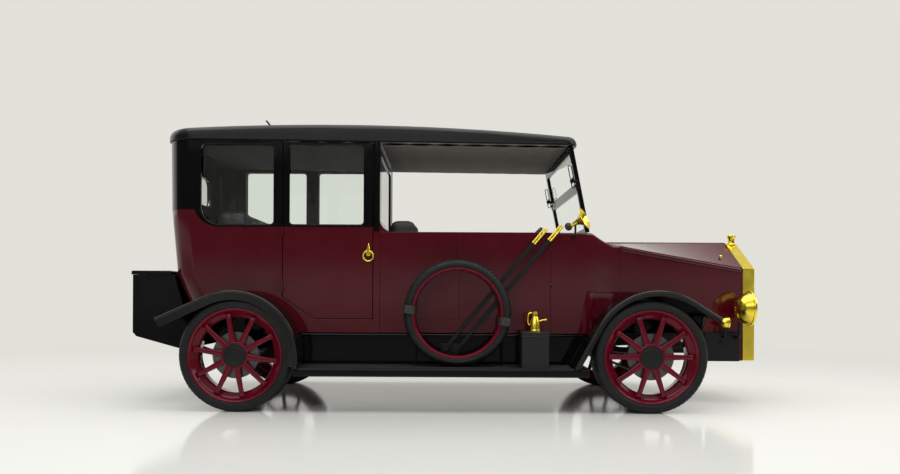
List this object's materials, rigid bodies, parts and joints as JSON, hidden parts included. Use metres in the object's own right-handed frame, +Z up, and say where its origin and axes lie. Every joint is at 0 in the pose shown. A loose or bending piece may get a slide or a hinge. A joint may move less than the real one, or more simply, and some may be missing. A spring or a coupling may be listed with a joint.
{
  "type": "vintage limousine car",
  "caption": "Enclosed-drive limousine of the early motor age with opening doors and lids, steered front wheels, brass radiator and lamps, side-mounted spare and rear trunk.",
  "frame": {"origin": "on the ground at the middle of the car's length and width", "axes": "+X forward, +Y to the car's left, +Z up"},
  "size_m": [4.344, 1.77, 1.9016],
  "materials": {
    "body_paint": "gloss maroon",
    "wheel_paint": "gloss crimson",
    "black_paint": "gloss black",
    "roof_black": "gloss black",
    "brass": "polished",
    "rubber": "matt",
    "glass": "clear",
    "leather": "buttoned dark grey",
    "steel": "dark forged",
    "wood": "oiled boards",
    "steering_black": "black rim"
  },
  "bodies": {
    "chassis": {"frame_rails": "black_paint", "cross_members": "black_paint", "leaf_springs": "steel", "front_axle": "steel", "rear_axle": "steel", "engine_block": "steel", "rear_body": "body_paint", "partition": "black_paint", "body_glass": "glass", "roof": "roof_black", "door_hinges": "body_paint", "front_sides": "body_paint", "floor_boards": "wood", "cowl": "body_paint", "radiator_shell": "brass", "radiator_core": "black_paint", "radiator_cap": "brass", "bonnet_sides": "body_paint", "bonnet_hinge_rod": "body_paint", "windscreen_frame": "black_paint", "windscreen_glass": "glass", "front_seat": "leather", "rear_seat": "leather", "steering_column": "black_paint", "running_boards": "black_paint", "front_fenders": "black_paint", "rear_fenders": "black_paint", "trunk": "black_paint", "lamps": "brass", "lamp_lenses": "glass", "spare_tyre": "rubber", "spare_rim": "wheel_paint", "control_levers": "black_paint", "lever_grips": "brass", "tool_box": "black_paint", "oil_can": "brass", "bulb_horn": "brass"},
    "right_rear_door": {"rear_door_right": "body_paint", "rear_door_glass_right": "glass"},
    "left_rear_door": {"rear_door_left": "body_paint", "rear_door_glass_left": "glass"},
    "left_front_door": {"front_door_left": "body_paint"},
    "right_bonnet_lid": {"bonnet_lid_right": "body_paint"},
    "left_bonnet_lid": {"bonnet_lid_left": "body_paint"},
    "boot_lid": {"trunk_lid": "black_paint"},
    "right_knuckle": {"knuckle_right": "steel"},
    "left_knuckle": {"knuckle_left": "steel"},
    "steering_link": {"tie_rod": "steel"},
    "steering": {"steering_wheel": "steering_black"},
    "front_right_wheel": {"wheel_front_right": "wheel_paint", "tyre_front_right": "rubber"},
    "front_left_wheel": {"wheel_front_left": "wheel_paint", "tyre_front_left": "rubber"},
    "rear_right_wheel": {"wheel_rear_right": "wheel_paint", "tyre_rear_right": "rubber"},
    "rear_left_wheel": {"wheel_rear_left": "wheel_paint", "tyre_rear_left": "rubber"}
  },
  "joints": [
    {"name": "rear_door_right", "type": "hinge", "parent": "chassis", "child": "right_rear_door", "pos_m": [-1.115, -0.629, 1.19], "axis": [0, 0, -1], "range_deg": [0, 65]},
    {"name": "rear_door_left", "type": "hinge", "parent": "chassis", "child": "left_rear_door", "pos_m": [-1.115, 0.629, 1.19], "axis": [0, 0, 1], "range_deg": [0, 65]},
    {"name": "front_door_left", "type": "hinge", "parent": "chassis", "child": "left_front_door", "pos_m": [0.683, 0.629, 0.88], "axis": [0, 0, -1], "range_deg": [0, 65]},
    {"name": "bonnet_right", "type": "hinge", "parent": "chassis", "child": "right_bonnet_lid", "pos_m": [1.635, 0, 1.147], "axis": [-1, 0, 0], "range_deg": [0, 65]},
    {"name": "bonnet_left", "type": "hinge", "parent": "chassis", "child": "left_bonnet_lid", "pos_m": [1.635, 0, 1.147], "axis": [1, 0, 0], "range_deg": [0, 65]},
    {"name": "trunk_lid", "type": "hinge", "parent": "chassis", "child": "boot_lid", "pos_m": [-1.885, 0, 0.895], "axis": [0, 1, 0], "range_deg": [0, 65]},
    {"name": "steer_right", "type": "hinge", "parent": "chassis", "child": "right_knuckle", "pos_m": [1.304, -0.77, 0.362], "axis": [0, 0, 1], "range_deg": [-30, 30]},
    {"name": "steer_left", "type": "hinge", "parent": "chassis", "child": "left_knuckle", "pos_m": [1.304, 0.77, 0.362], "axis": [0, 0, 1], "range_deg": [-30, 30]},
    {"name": "tie_rod", "type": "slide", "parent": "chassis", "child": "steering_link", "axis": [0, 1, 0], "range_m": [-0.046, 0.046]},
    {"name": "steering_wheel", "type": "hinge", "parent": "chassis", "child": "steering", "pos_m": [0.54, -0.3, 1.085], "axis": [-0.766, 0, 0.6428], "range_deg": [-361, 361]},
    {"name": "roll_front_right", "type": "hinge", "parent": "right_knuckle", "child": "front_right_wheel", "pos_m": [1.304, -0.77, 0.362], "axis": [0, 1, 0], "continuous": true},
    {"name": "roll_front_left", "type": "hinge", "parent": "left_knuckle", "child": "front_left_wheel", "pos_m": [1.304, 0.77, 0.362], "axis": [0, 1, 0], "continuous": true},
    {"name": "roll_rear_right", "type": "hinge", "parent": "chassis", "child": "rear_right_wheel", "pos_m": [-1.366, -0.77, 0.362], "axis": [0, 1, 0], "continuous": true},
    {"name": "roll_rear_left", "type": "hinge", "parent": "chassis", "child": "rear_left_wheel", "pos_m": [-1.366, 0.77, 0.362], "axis": [0, 1, 0], "continuous": true}
  ],
  "couplings": [
    {"joint": "steer_left", "follows": "steer_right", "ratio": 1},
    {"joint": "tie_rod", "follows": "steer_right", "m_per_rad": -0.08594},
    {"joint": "steering_wheel", "follows": "steer_right", "ratio": 12}
  ]
}
